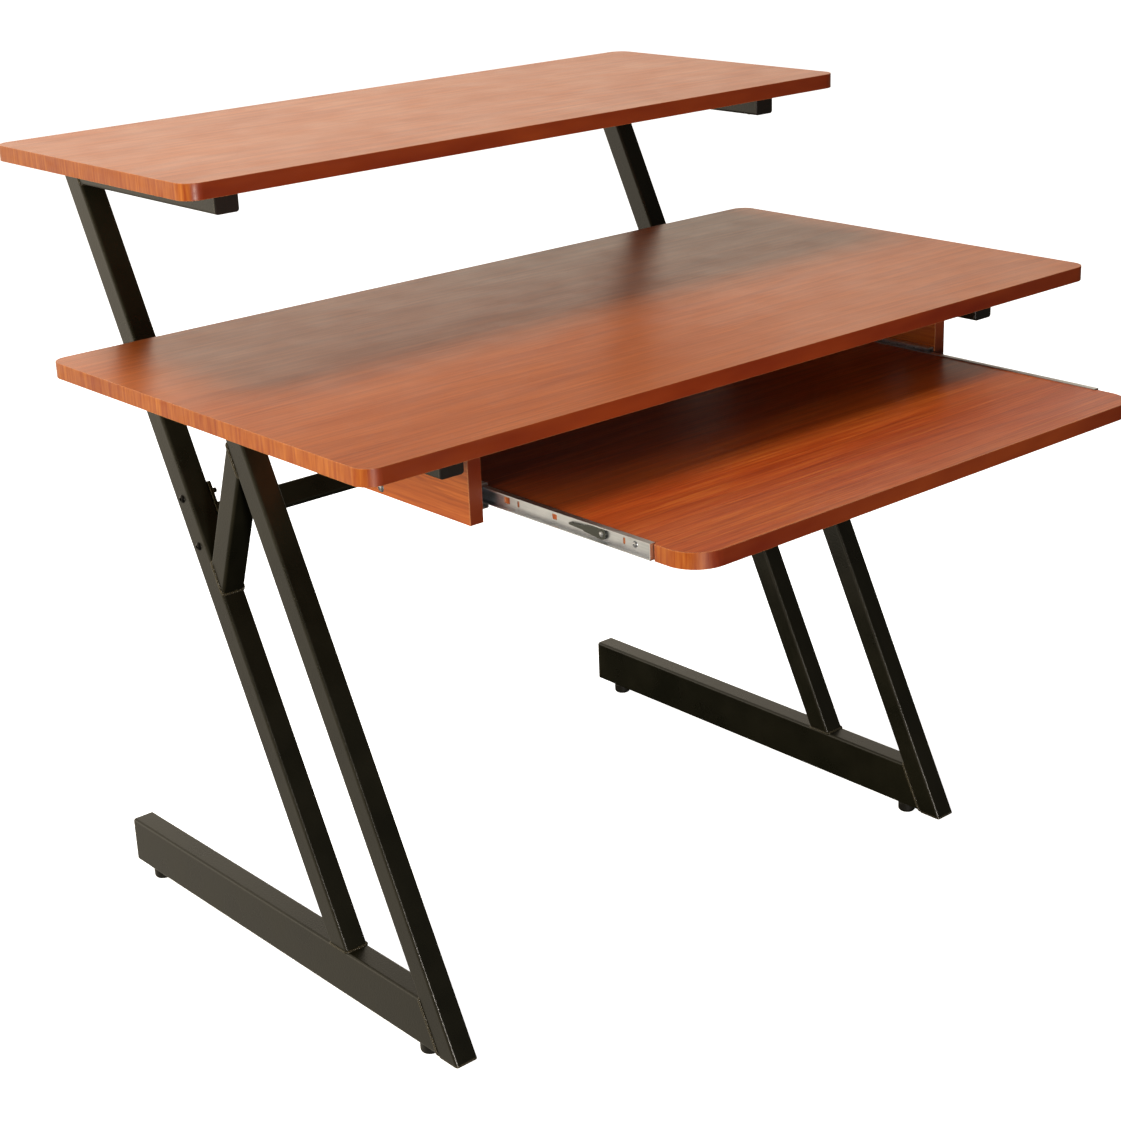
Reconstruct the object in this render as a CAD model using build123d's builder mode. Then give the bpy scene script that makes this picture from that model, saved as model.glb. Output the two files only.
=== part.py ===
from build123d import *
from math import asin, cos, radians, sin
import os

# Computer desk: two laminated boards on a black steel tube frame, with a keyboard tray on ball slides.
# Millimetres. +X is the user's right, -Y is the front, +Z is up. The origin is on the floor, under the
# middle of the whole desk with its tray pulled out. Setbacks are measured back from the desktop's front
# edge, so a negative setback is in front of it. A piece of the right side mirrors the left one.

# ---- driving dimensions ------------------------------------------------------------------------------
desktop_width = 1098
desktop_depth = 588
desktop_top = 750
shelf_width = 982
shelf_depth = 415
shelf_setback = 360
shelf_top = 961
board_thickness = 18
board_corner_radius = 20
edge_band = 1.0
band_edge_radius = 0.4

tube = 30
tube_wall = 1.5
tube_corner = 3.5
leg_centre_x = 410.5
leg_lean = 26.5
brace_lean = 20.3
rear_leg_setback = 262
front_leg_setback = 94
brace_setback = 665
rail_height = 60
rail_bottom = 15
rail_rear_setback = 756.5
desk_arm_setback = 52
desk_arm_pad = 2
desk_arm_pad_length = 40
shelf_arm_setback = 415
desk_arm_screws = (80, 300, 540)
shelf_arm_screws = (440, 560, 680)

crossbar_tube = 28
crossbar_height = 541
crossbar_plate_thickness = 4
crossbar_plate_length = 80
crossbar_bolt_spacing = 58

glide_setbacks = {"front": 152, "rear": 721}
glide_radius = 11.5
glide_height = 13.6
glide_stud_radius = 3.9
glide_stud_length = 24

tray_reach = 219
tray_thickness = 17
tray_depth = 410
tray_top = 666
tray_front_length = 56
tray_front_half_width = 345
tray_corner_radius = 36
tray_notch_radius = 2.5

panel_setback = 77
panel_length = 364
panel_outer_x = 370.5
panel_thickness = 17
panel_height = 100
panel_cap_screws = (227, 387)
panel_cap_screw_lift = 7
bracket_setbacks = (130, 390)
bracket_leg = 25
bracket_width = 40
bracket_steel = 2

slide_steel = 1.2
slide_gap = 12
cabinet_height = 27
cabinet_depth = 9.2
cabinet_lip = 1.6
cabinet_setback = 79
cabinet_length = 354
cabinet_screws = (112, 404)
drawer_height = 17
drawer_depth = 7.2
drawer_setback = -162.5
drawer_length = 352
drawer_screws = (-136, 165)
slide_drop = 7.5
cage_setback = 98
cage_length = 90.6
cage_steel = 0.7
ball_radius = 1.75
ball_count = 7
ball_pitch = 13
lever_pivot_setback = -92
lever_thickness = 2.6
lever_head_radius = 5.6
lever_waist = 24
lever_waist_radius = 3.2
lever_length = 46
lever_tail_radius = 1.1
lever_rivet_radius = 1.9

# ---- dimensions that follow --------------------------------------------------------------------------
overall_depth = tray_reach + shelf_setback + shelf_depth
front_edge_y = tray_reach - overall_depth / 2
desktop_bottom = desktop_top - board_thickness
shelf_bottom = shelf_top - board_thickness
rail_top = rail_bottom + rail_height
desk_arm_bottom = desktop_bottom - desk_arm_pad - tube
shelf_arm_bottom = shelf_bottom - tube
half_tube = tube / 2
leg_inner_x = leg_centre_x - half_tube
leg_outer_x = leg_centre_x + half_tube
crossbar_end_x = leg_inner_x - crossbar_plate_thickness
panel_inner_x = panel_outer_x - panel_thickness
panel_bottom = desktop_bottom - panel_height
tray_edge_x = panel_inner_x - slide_gap
tray_bottom = tray_top - tray_thickness
slide_z = tray_top - slide_drop
lean = radians(leg_lean)
lean_up = Vector(0, sin(lean), cos(lean))
lean_forward = Vector(0, -cos(lean), sin(lean))
sides = {"left": -1, "right": 1}

# Screws: shank radius, and the radius of the hole that it goes through or into.
wood_screw = 2.5
wood_screw_hole = 2.7
wood_screw_bite = 13
small_screw = 1.8
small_screw_hole = 2.0
bolt = 3.0
bolt_hole = 3.3
fit_clearance = 0.1


def behind_front(setback):
    """The Y of whatever lies `setback` behind the desktop's front edge."""
    return front_edge_y + setback


def save(piece, name):
    """Label a finished piece and write it as its own STEP file."""
    piece.part.label = name
    export_step(piece.part, f"parts/{name}.step")


def looking_up(x, setback, z):
    """A level plane whose normal is up."""
    return Plane(origin=(x, behind_front(setback), z))


def looking_down(x, setback, z):
    """A level plane whose normal is down."""
    return Plane(origin=(x, behind_front(setback), z), x_dir=(1, 0, 0), z_dir=(0, 0, -1))


def looking_back(x, setback, z):
    """An upright plane whose normal is +Y, for whatever runs from front to back."""
    return Plane(origin=(x, behind_front(setback), z), x_dir=(1, 0, 0), z_dir=(0, 1, 0))


def looking_sideways(x, setback, z, direction):
    """An upright plane whose normal is +X or -X, and whose own X runs to the back."""
    return Plane(origin=(x, behind_front(setback), z), x_dir=(0, 1, 0), z_dir=(direction, 0, 0))


def domed_screw(shank_radius, shank_length, head_radius, head_height, drive):
    """A screw standing on its head's seat, z = 0, with its domed head up. `drive` is its recess's width."""
    sphere_radius = (head_radius**2 + head_height**2) / (2 * head_height)
    half_angle = asin(head_radius / sphere_radius) / 2
    middle = (sphere_radius * sin(half_angle), head_height - sphere_radius * (1 - cos(half_angle)))
    with BuildPart() as screw:
        with BuildSketch(Plane.XZ):
            with BuildLine():
                ThreePointArc((head_radius, 0), middle, (0, head_height))
                Polyline((0, head_height), (0, -shank_length), (shank_radius, -shank_length))
                Polyline((shank_radius, -shank_length), (shank_radius, 0), (head_radius, 0))
            make_face()
        revolve(axis=Axis.Z)
        with BuildSketch(Plane.XY.offset(head_height)):
            RegularPolygon(drive / 2, 6, major_radius=False)
        extrude(amount=-head_height * 0.7, mode=Mode.SUBTRACT)
    return screw.part


def group_of(piece, seats):
    """One node that holds the same small piece on every seat."""
    with BuildPart() as group:
        with Locations(*seats):
            add(piece)
    return group


os.makedirs("parts", exist_ok=True)

# ---- boards ------------------------------------------------------------------------------------------
desktop_screw_seats = [
    looking_down(side * leg_centre_x, setback, desk_arm_bottom)
    for side in sides.values()
    for setback in desk_arm_screws
]
shelf_screw_seats = [
    looking_down(side * leg_centre_x, setback, shelf_arm_bottom)
    for side in sides.values()
    for setback in shelf_arm_screws
]
bracket_screw_x = panel_inner_x - bracket_leg / 2
bracket_up_seats = [
    looking_down(side * bracket_screw_x, setback, desktop_bottom - bracket_steel)
    for side in sides.values()
    for setback in bracket_setbacks
]
bracket_side_x = panel_inner_x - bracket_steel
bracket_side_z = desktop_bottom - bracket_leg / 2
bracket_side_seats = {
    side: [
        looking_sideways(side * bracket_side_x, setback, bracket_side_z, -side)
        for setback in bracket_setbacks
    ]
    for side in sides.values()
}


def rounded_board(name, width, depth, setback, top, pilot_holes):
    """A laminated board with pilot holes in its underside, and the band glued round its edge."""
    plane = looking_up(0, setback + depth / 2, top - board_thickness)
    with BuildPart() as board:
        with BuildSketch(plane):
            RectangleRounded(width - 2 * edge_band, depth - 2 * edge_band, board_corner_radius - edge_band)
        extrude(amount=board_thickness)
        with Locations(*pilot_holes):
            Hole(wood_screw_hole, wood_screw_bite + 1)
    save(board, f"{name}_board")
    with BuildPart() as band:
        with BuildSketch(plane):
            RectangleRounded(width, depth, board_corner_radius)
        extrude(amount=board_thickness)
        fillet(band.faces().filter_by(Axis.Z).edges(), band_edge_radius)
        with BuildSketch(plane):
            RectangleRounded(width - 2 * edge_band, depth - 2 * edge_band, board_corner_radius - edge_band)
        extrude(amount=board_thickness, mode=Mode.SUBTRACT)
    save(band, f"{name}_edge_band")


desktop_pilots = [Plane(origin=(seat.origin.X, seat.origin.Y, desktop_bottom), z_dir=(0, 0, -1))
                  for seat in desktop_screw_seats + bracket_up_seats]
shelf_pilots = [Plane(origin=(seat.origin.X, seat.origin.Y, shelf_bottom), z_dir=(0, 0, -1))
                for seat in shelf_screw_seats]
rounded_board("desktop", desktop_width, desktop_depth, 0, desktop_top, desktop_pilots)
rounded_board("shelf", shelf_width, shelf_depth, shelf_setback, shelf_top, shelf_pilots)

# ---- steel frame -------------------------------------------------------------------------------------
above_rail = looking_up(0, 0, rail_top)
above_floor_gap = looking_up(0, 0, rail_bottom)
below_shelf = looking_down(0, 0, shelf_bottom)
below_desk_arm = looking_down(0, 0, desk_arm_bottom)
rear_leg_foot = Vector(0, behind_front(rear_leg_setback), 0)
front_leg_foot = Vector(0, behind_front(front_leg_setback), 0)
rear_leg_front_face = Plane(origin=rear_leg_foot + lean_forward * half_tube, z_dir=lean_forward)
front_leg_rear_face = Plane(origin=front_leg_foot - lean_forward * half_tube, z_dir=-lean_forward)
crossbar_centre = rear_leg_foot + lean_up * (crossbar_height / cos(lean))
bolt_centres = [crossbar_centre + lean_up * (end * crossbar_bolt_spacing / 2) for end in (1, -1)]
longest_tube = 1300
insert_radius = 5.5


def tube_section(width, height):
    """The hollow section of a square or oblong tube, in the sketch that is open."""
    RectangleRounded(width, height, tube_corner)
    inner_corner = tube_corner - tube_wall
    RectangleRounded(width - 2 * tube_wall, height - 2 * tube_wall, inner_corner, mode=Mode.SUBTRACT)


def leaning_tube(x, setback, angle, lower_cut, upper_cut, cross_holes=()):
    """A square tube that leans in the side view, cut by two planes whose normals point into it."""
    direction = Vector(0, sin(radians(angle)), cos(radians(angle)))
    start = Vector(x, behind_front(setback), 0) - direction * tube * 3
    with BuildPart() as leaning:
        with BuildSketch(Plane(origin=start, x_dir=(1, 0, 0), z_dir=direction)):
            tube_section(tube, tube)
        extrude(amount=longest_tube)
        split(bisect_by=lower_cut, keep=Keep.TOP)
        split(bisect_by=upper_cut, keep=Keep.TOP)
        if cross_holes:
            outer_x = x + half_tube
            hole_planes = [Plane(origin=(outer_x, hole.Y, hole.Z), z_dir=(1, 0, 0)) for hole in cross_holes]
            with Locations(*hole_planes):
                Hole(bolt_hole, tube)
    return leaning


def arm(x, setback, bottom, screws):
    """A level tube that carries a board, from its open front end back to the rear leg's front face."""
    with BuildPart() as level:
        with BuildSketch(looking_back(x, setback, bottom + half_tube)):
            tube_section(tube, tube)
        extrude(amount=longest_tube)
        split(bisect_by=rear_leg_front_face, keep=Keep.TOP)
        with Locations(*[looking_down(x, screw, bottom) for screw in screws]):
            Hole(wood_screw_hole, tube)
    return level


for side_name, side in sides.items():
    x = side * leg_centre_x
    rear_leg = leaning_tube(x, rear_leg_setback, leg_lean, above_rail, below_shelf, bolt_centres)
    save(rear_leg, f"{side_name}_rear_leg")
    front_leg = leaning_tube(x, front_leg_setback, leg_lean, above_floor_gap, below_desk_arm)
    save(front_leg, f"{side_name}_front_leg")
    v_brace = leaning_tube(x, brace_setback, -brace_lean, rear_leg_front_face, front_leg_rear_face)
    save(v_brace, f"{side_name}_v_brace")
    save(arm(x, desk_arm_setback, desk_arm_bottom, desk_arm_screws), f"{side_name}_desk_arm")
    save(arm(x, shelf_arm_setback, shelf_arm_bottom, shelf_arm_screws), f"{side_name}_shelf_arm")
    with BuildPart() as foot_rail:
        with BuildSketch(looking_back(x, 0, rail_bottom + rail_height / 2)):
            tube_section(tube, rail_height)
        extrude(amount=rail_rear_setback)
        split(bisect_by=front_leg_rear_face, keep=Keep.TOP)
        with Locations(*[looking_down(x, setback, rail_bottom) for setback in glide_setbacks.values()]):
            Hole(insert_radius + 0.1, 2 * tube_wall)
    save(foot_rail, f"{side_name}_foot_rail")

pad_centres = [(side * leg_centre_x, setback) for side in sides.values() for setback in desk_arm_screws]
with BuildPart() as desk_arm_pads:
    with BuildSketch(looking_up(0, 0, desktop_bottom - desk_arm_pad)):
        with Locations(pad_centres):
            RectangleRounded(tube - tube_corner, desk_arm_pad_length, 2)
            Circle(wood_screw_hole, mode=Mode.SUBTRACT)
    extrude(amount=desk_arm_pad)
save(desk_arm_pads, "desk_arm_pads")

arm_screw_head = {"head_radius": 5.5, "head_height": 2.8, "drive": 4}
desktop_screw = domed_screw(wood_screw, tube + desk_arm_pad + wood_screw_bite, **arm_screw_head)
shelf_screw = domed_screw(wood_screw, tube + wood_screw_bite, **arm_screw_head)
save(group_of(desktop_screw, desktop_screw_seats), "desktop_screws")
save(group_of(shelf_screw, shelf_screw_seats), "shelf_screws")

# ---- crossbar between the rear legs ------------------------------------------------------------------
crossbar_middle = Plane(origin=crossbar_centre, x_dir=lean_up, z_dir=(1, 0, 0))
bolt_length = 45
nut_thickness = 5
nut_across_flats = 10

with BuildPart() as crossbar:
    with BuildSketch(crossbar_middle.offset(-crossbar_end_x)):
        tube_section(crossbar_tube, crossbar_tube)
    extrude(amount=2 * crossbar_end_x)
save(crossbar, "crossbar")

for side_name, side in sides.items():
    with BuildPart() as crossbar_plate:
        with BuildSketch(crossbar_middle.offset(side * crossbar_end_x)):
            RectangleRounded(crossbar_plate_length, tube, tube_corner)
            with Locations((crossbar_bolt_spacing / 2, 0), (-crossbar_bolt_spacing / 2, 0)):
                Circle(bolt_hole, mode=Mode.SUBTRACT)
        extrude(amount=side * crossbar_plate_thickness)
    save(crossbar_plate, f"{side_name}_crossbar_plate")

bolt_seats = [
    Plane(origin=(side * leg_outer_x, centre.Y, centre.Z), x_dir=(0, 1, 0), z_dir=(side, 0, 0))
    for side in sides.values()
    for centre in bolt_centres
]
nut_seats = [
    Plane(origin=(side * crossbar_end_x, centre.Y, centre.Z), x_dir=(0, 1, 0), z_dir=(-side, 0, 0))
    for side in sides.values()
    for centre in bolt_centres
]
crossbar_bolt = domed_screw(bolt, bolt_length, head_radius=5.25, head_height=3.3, drive=4)
save(group_of(crossbar_bolt, bolt_seats), "crossbar_bolts")

with BuildPart() as nut:
    with BuildSketch():
        RegularPolygon(nut_across_flats / 2, 6, major_radius=False)
        Circle(bolt + 0.1, mode=Mode.SUBTRACT)
    extrude(amount=nut_thickness)
save(group_of(nut.part, nut_seats), "crossbar_nuts")

# ---- plugs in the open tube ends ---------------------------------------------------------------------
plug_flange = 2
plug_chamfer = 0.8
plug_depth = 12
plug_wall = 2
plug_slack = 0.3


def tube_plug(width, height):
    """A hollow plug whose flange covers a tube's end, z = 0, and whose body goes down inside the tube."""
    body_width = width - 2 * (tube_wall + plug_slack)
    body_height = height - 2 * (tube_wall + plug_slack)
    with BuildPart() as plug:
        with BuildSketch():
            RectangleRounded(width, height, tube_corner)
        extrude(amount=plug_flange)
        chamfer(plug.edges().group_by(Axis.Z)[-1], plug_chamfer)
        with BuildSketch():
            RectangleRounded(body_width, body_height, tube_wall)
            Rectangle(body_width - 2 * plug_wall, body_height - 2 * plug_wall, mode=Mode.SUBTRACT)
        extrude(amount=-plug_depth)
    return plug.part


def arm_ends(setback, bottom):
    """The front ends of the left and right arms, seen from the front."""
    y = behind_front(setback)
    z = bottom + half_tube
    return [
        Plane(origin=(side * leg_centre_x, y, z), x_dir=(1, 0, 0), z_dir=(0, -1, 0))
        for side in sides.values()
    ]


rail_centre_z = rail_bottom + rail_height / 2
rail_ends = [looking_back(side * leg_centre_x, rail_rear_setback, rail_centre_z) for side in sides.values()]
save(group_of(tube_plug(tube, tube), arm_ends(desk_arm_setback, desk_arm_bottom)), "desk_arm_plugs")
save(group_of(tube_plug(tube, tube), arm_ends(shelf_arm_setback, shelf_arm_bottom)), "shelf_arm_plugs")
save(group_of(tube_plug(tube, rail_height), rail_ends), "foot_rail_plugs")

# The front legs are cut level at the floor end, and their plugs are sheared to follow the lean inside.
front_foot_setback = front_leg_setback + rail_bottom * sin(lean) / cos(lean)
level_cut_depth = tube / cos(lean)
with BuildPart() as front_leg_plugs:
    for side in sides.values():
        with BuildSketch(looking_down(side * leg_centre_x, front_foot_setback, rail_bottom)):
            RectangleRounded(tube, level_cut_depth, tube_corner)
        extrude(amount=plug_flange)
        with BuildSketch(looking_up(side * leg_centre_x, front_foot_setback, rail_bottom)):
            body_width = tube - 2 * (tube_wall + plug_slack)
            RectangleRounded(body_width, body_width / cos(lean), tube_corner)
        extrude(amount=plug_depth, dir=lean_up)
    chamfer(front_leg_plugs.edges().group_by(Axis.Z)[0], plug_chamfer)
save(front_leg_plugs, "front_leg_plugs")

# ---- levelling glides --------------------------------------------------------------------------------
insert_height = 16
insert_flange = 1
insert_flange_radius = 7.5
glide_foot_radius = 4

with BuildPart() as glide_insert:
    with BuildSketch():
        Circle(insert_radius)
    extrude(amount=insert_height)
    with BuildSketch():
        Circle(insert_flange_radius)
    extrude(amount=-insert_flange)
    Hole(glide_stud_radius + fit_clearance)
insert_seats = [
    looking_up(side * leg_centre_x, setback, rail_bottom)
    for side in sides.values()
    for setback in glide_setbacks.values()
]
save(group_of(glide_insert.part, insert_seats), "glide_inserts")

for side_name, side in sides.items():
    for end_name, setback in glide_setbacks.items():
        with BuildPart() as glide:
            with BuildSketch(looking_up(side * leg_centre_x, setback, 0)):
                Circle(glide_radius)
            extrude(amount=glide_height)
            fillet(glide.edges().sort_by(Axis.Z)[0], glide_foot_radius)
            fillet(glide.edges().sort_by(Axis.Z)[-1], 1)
            with BuildSketch(looking_up(side * leg_centre_x, setback, glide_height)):
                Circle(glide_stud_radius)
            extrude(amount=glide_stud_length)
        save(glide, f"{side_name}_{end_name}_glide")

# ---- keyboard tray -----------------------------------------------------------------------------------

with BuildSketch() as tray_outline:
    with BuildLine():
        Polyline(
            (-tray_front_half_width, 0),
            (tray_front_half_width, 0),
            (tray_front_half_width, tray_front_length),
            (tray_edge_x, tray_front_length),
            (tray_edge_x, tray_depth),
            (-tray_edge_x, tray_depth),
            (-tray_edge_x, tray_front_length),
            (-tray_front_half_width, tray_front_length),
            close=True,
        )
    make_face()
    notch_corners = tray_outline.vertices().filter_by_position(Axis.Y, tray_front_length - 1, tray_front_length + 1)
    fillet(notch_corners.filter_by(lambda corner: abs(corner.X) > tray_edge_x + 1), tray_notch_radius)
    fillet(tray_outline.vertices().group_by(Axis.Y)[0], tray_corner_radius)

with BuildSketch() as tray_core:
    add(tray_outline.sketch)
    offset(amount=-edge_band, mode=Mode.REPLACE)

drawer_web_x = tray_edge_x + slide_steel
drawer_screw_seats = {
    side: [looking_sideways(side * drawer_web_x, setback, slide_z, side) for setback in drawer_screws]
    for side in sides.values()
}
all_drawer_seats = drawer_screw_seats[-1] + drawer_screw_seats[1]

with BuildPart() as tray_board:
    with BuildSketch(looking_up(0, -tray_reach, tray_bottom)):
        add(tray_core.sketch)
    extrude(amount=tray_thickness)
    with Locations(*all_drawer_seats):
        Hole(small_screw_hole, wood_screw_bite)
save(tray_board, "tray_board")

with BuildPart() as tray_edge_band:
    with BuildSketch(looking_up(0, -tray_reach, tray_bottom)):
        add(tray_outline.sketch)
    extrude(amount=tray_thickness)
    fillet(tray_edge_band.faces().filter_by(Axis.Z).edges(), band_edge_radius)
    with BuildSketch(looking_up(0, -tray_reach, tray_bottom)):
        add(tray_core.sketch)
    extrude(amount=tray_thickness, mode=Mode.SUBTRACT)
    with Locations(*all_drawer_seats):
        Hole(small_screw_hole, 4 * edge_band)
save(tray_edge_band, "tray_edge_band")

# ---- side panels that carry the slides ---------------------------------------------------------------
cap_screw_z = panel_bottom + panel_cap_screw_lift
cap_screw_seats = {
    side: [
        looking_sideways(side * panel_outer_x, setback, cap_screw_z, side)
        for setback in panel_cap_screws
    ]
    for side in sides.values()
}
cabinet_web_x = panel_inner_x - slide_steel
cabinet_screw_seats = {
    side: [looking_sideways(side * cabinet_web_x, setback, slide_z, -side) for setback in cabinet_screws]
    for side in sides.values()
}

for side_name, side in sides.items():
    middle_x = side * (panel_inner_x + panel_outer_x) / 2
    with BuildPart() as side_panel:
        with BuildSketch(looking_up(middle_x, panel_setback + edge_band + panel_length / 2, panel_bottom)):
            Rectangle(panel_thickness, panel_length)
        extrude(amount=panel_height)
        with Locations(*cap_screw_seats[side]):
            Hole(wood_screw_hole, wood_screw_bite)
        with Locations(*cabinet_screw_seats[side], *bracket_side_seats[side]):
            Hole(small_screw_hole, wood_screw_bite)
    save(side_panel, f"{side_name}_side_panel")

with BuildPart() as side_panel_bands:
    for side in sides.values():
        middle_x = side * (panel_inner_x + panel_outer_x) / 2
        with BuildSketch(looking_back(middle_x, panel_setback, panel_bottom + panel_height / 2)):
            Rectangle(panel_thickness, panel_height)
        extrude(amount=edge_band)
    front_edges = side_panel_bands.edges().filter_by(Axis.Z).group_by(Axis.Y)[0]
    fillet(front_edges, band_edge_radius)
save(side_panel_bands, "side_panel_bands")

cap_screw = domed_screw(wood_screw, wood_screw_bite - 1, head_radius=5, head_height=2.6, drive=3)
save(group_of(cap_screw, cap_screw_seats[-1] + cap_screw_seats[1]), "panel_cap_screws")

half_steel = bracket_steel / 2
half_leg = bracket_leg / 2
with BuildPart() as panel_brackets:
    for side in sides.values():
        for setback in bracket_setbacks:
            bracket_front = setback - bracket_width / 2
            with BuildSketch(looking_back(side * panel_inner_x, bracket_front, desktop_bottom)):
                with Locations((-side * half_leg, half_steel)):
                    Rectangle(bracket_leg, bracket_steel)
                with Locations((-side * half_steel, half_leg)):
                    Rectangle(bracket_steel, bracket_leg)
            extrude(amount=bracket_width)
    with Locations(*bracket_up_seats):
        Hole(wood_screw_hole, 2 * bracket_steel)
    with Locations(*bracket_side_seats[-1], *bracket_side_seats[1]):
        Hole(small_screw_hole, 2 * bracket_steel)
save(panel_brackets, "panel_brackets")

bracket_up_length = bracket_steel + wood_screw_bite
bracket_up_screw = domed_screw(wood_screw, bracket_up_length, head_radius=4.5, head_height=2.2, drive=3)
small_length = wood_screw_bite - 1
bracket_side_screw = domed_screw(small_screw, small_length, head_radius=3.5, head_height=1.8, drive=2)
save(group_of(bracket_up_screw, bracket_up_seats), "bracket_top_screws")
save(group_of(bracket_side_screw, bracket_side_seats[-1] + bracket_side_seats[1]), "bracket_side_screws")

# ---- ball slides -------------------------------------------------------------------------------------
drawer_rim_x = tray_edge_x + drawer_depth
cabinet_inner_half = cabinet_height / 2 - slide_steel
drawer_half = drawer_height / 2
ball_lift = (cabinet_inner_half + drawer_half) / 2
ball_x = tray_edge_x + 6
cage_web_x = drawer_rim_x + 0.7
cage_finger_x = ball_x - 1.1
lever_web_gap = 0.3
lever_x = drawer_web_x + lever_web_gap
cabinet_middle_x = panel_inner_x - cabinet_depth / 2
rear_stop_setback = cabinet_setback + cabinet_length - slide_steel
cage_top_z = slide_z + ball_lift + cage_steel
ball_rows = (slide_z + ball_lift, slide_z - ball_lift)
ball_setbacks = [cage_setback + 6.3 + ball_pitch * place for place in range(ball_count)]

# Openings punched in the drawer member's web: setback, length and height.
web_windows = ((51.5, 9, 7), (33.7, 3, 6.5), (-21, 7, 5.5), (-121, 3, 6.5))
lever_seats = {
    side: looking_sideways(side * drawer_web_x, lever_pivot_setback, slide_z, side)
    for side in sides.values()
}

# The lever's outline is a body that narrows from its rivet, and a thin tail.
with BuildSketch() as lever_body:
    Circle(lever_head_radius)
    with Locations((lever_waist, 0)):
        Circle(lever_waist_radius)
    make_hull()

with BuildSketch() as lever_tail:
    with Locations((lever_waist, 0)):
        Circle(lever_tail_radius * 2)
    with Locations((lever_length, 0)):
        Circle(lever_tail_radius)
    make_hull()

for side_name, side in sides.items():
    # The cabinet member: a channel screwed to the side panel, with small lips that keep the balls in.
    with BuildPart() as cabinet_member:
        with BuildSketch(looking_back(side * cabinet_middle_x, cabinet_setback, slide_z)):
            RectangleRounded(cabinet_depth, cabinet_height, slide_steel)
            Rectangle(cabinet_depth - 2 * slide_steel, 2 * cabinet_inner_half, mode=Mode.SUBTRACT)
            with Locations((-side * cabinet_depth / 2, 0)):
                Rectangle(3 * slide_steel, 2 * (cabinet_inner_half - cabinet_lip), mode=Mode.SUBTRACT)
        extrude(amount=cabinet_length)
        with BuildSketch(looking_back(side * cabinet_middle_x, rear_stop_setback, slide_z)):
            Rectangle(cabinet_depth - 2 * slide_steel, 2 * cabinet_inner_half)
        extrude(amount=slide_steel)
        with Locations(*cabinet_screw_seats[side]):
            Hole(small_screw_hole, 2 * slide_steel)
    save(cabinet_member, f"{side_name}_cabinet_member")

    # The drawer member: a smaller channel screwed to the tray's edge, with a bent tab at its front end.
    with BuildPart() as drawer_member:
        with BuildSketch(looking_back(side * (tray_edge_x + drawer_depth / 2), drawer_setback, slide_z)):
            RectangleRounded(drawer_depth, drawer_height, 0.5)
            with Locations((side * slide_steel, 0)):
                Rectangle(drawer_depth, drawer_height - 2 * slide_steel, mode=Mode.SUBTRACT)
        extrude(amount=drawer_length)
        with BuildSketch(looking_back(side * (tray_edge_x + drawer_depth / 2), drawer_setback, slide_z)):
            Rectangle(drawer_depth - 0.6, drawer_height - slide_steel)
        extrude(amount=slide_steel)
        for setback, length, height in web_windows:
            with BuildSketch(looking_sideways(side * tray_edge_x, setback, slide_z, side)):
                RectangleRounded(length, height, 1)
            extrude(amount=slide_steel, mode=Mode.SUBTRACT)
        with Locations(*drawer_screw_seats[side], lever_seats[side]):
            Hole(small_screw_hole, 2 * slide_steel)
    save(drawer_member, f"{side_name}_drawer_member")

    # The ball cage: a thin channel whose fingers hold a row of balls above and a row below.
    with BuildPart() as ball_cage:
        finger_length = cage_web_x + cage_steel - cage_finger_x
        with BuildSketch(looking_back(side * (cage_web_x + cage_steel / 2), cage_setback, slide_z)):
            Rectangle(cage_steel, 2 * ball_lift + cage_steel)
        extrude(amount=cage_length)
        with BuildSketch(looking_back(side * (cage_finger_x + finger_length / 2), cage_setback, slide_z)):
            with Locations((0, ball_lift), (0, -ball_lift)):
                Rectangle(finger_length, cage_steel)
        extrude(amount=cage_length)
        with Locations(*[looking_up(side * ball_x, setback, cage_top_z) for setback in ball_setbacks]):
            Hole(ball_radius + fit_clearance, 2 * (ball_lift + cage_steel))
    save(ball_cage, f"{side_name}_ball_cage")

    with BuildPart() as slide_balls:
        centres = [looking_up(side * ball_x, setback, z) for z in ball_rows for setback in ball_setbacks]
        with Locations(*centres):
            Sphere(ball_radius)
    save(slide_balls, f"{side_name}_slide_balls")

    # The release lever: a plastic finger on a rivet, which frees the tray when its tail is pushed.
    with BuildPart() as release_lever:
        with BuildSketch(looking_sideways(side * lever_x, lever_pivot_setback, slide_z, side)):
            add(lever_body.sketch)
            add(lever_tail.sketch)
            Circle(lever_rivet_radius + fit_clearance, mode=Mode.SUBTRACT)
        extrude(amount=lever_thickness)
    save(release_lever, f"{side_name}_release_lever")

slide_screw_length = slide_steel + wood_screw_bite - 2
drawer_screw = domed_screw(small_screw, slide_screw_length, head_radius=3.5, head_height=2, drive=2)
save(group_of(drawer_screw, all_drawer_seats), "drawer_member_screws")

# The cabinet members' screws have thin heads, so that the cages pass over them.
cabinet_screw = domed_screw(small_screw, slide_screw_length, head_radius=3.5, head_height=1.2, drive=2)
save(group_of(cabinet_screw, cabinet_screw_seats[-1] + cabinet_screw_seats[1]), "cabinet_member_screws")

# Each rivet starts flush with the web's inner face and ends in a head that keeps the lever on.
rivet_head_gap = 0.2
rivet_grip = slide_steel + lever_web_gap + lever_thickness + rivet_head_gap
rivet = domed_screw(lever_rivet_radius, rivet_grip, head_radius=3, head_height=1.3, drive=1)
rivet_seats = [seat.offset(rivet_grip - slide_steel) for seat in lever_seats.values()]
save(group_of(rivet, rivet_seats), "lever_rivets")
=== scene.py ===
# %% [markdown]
# # A computer desk with a keyboard tray
# The desk is two boards with a wood print on a black tube frame, and a tray that slides out from under the
# larger board. The shape of every hard part comes from the CAD model, which is loaded once and stays where
# it is. This script gives those parts their finishes, adds the weld beads that the CAD leaves out, and sets
# up the floor, the light and the camera. Lengths are in metres, with the origin on the floor.

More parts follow.
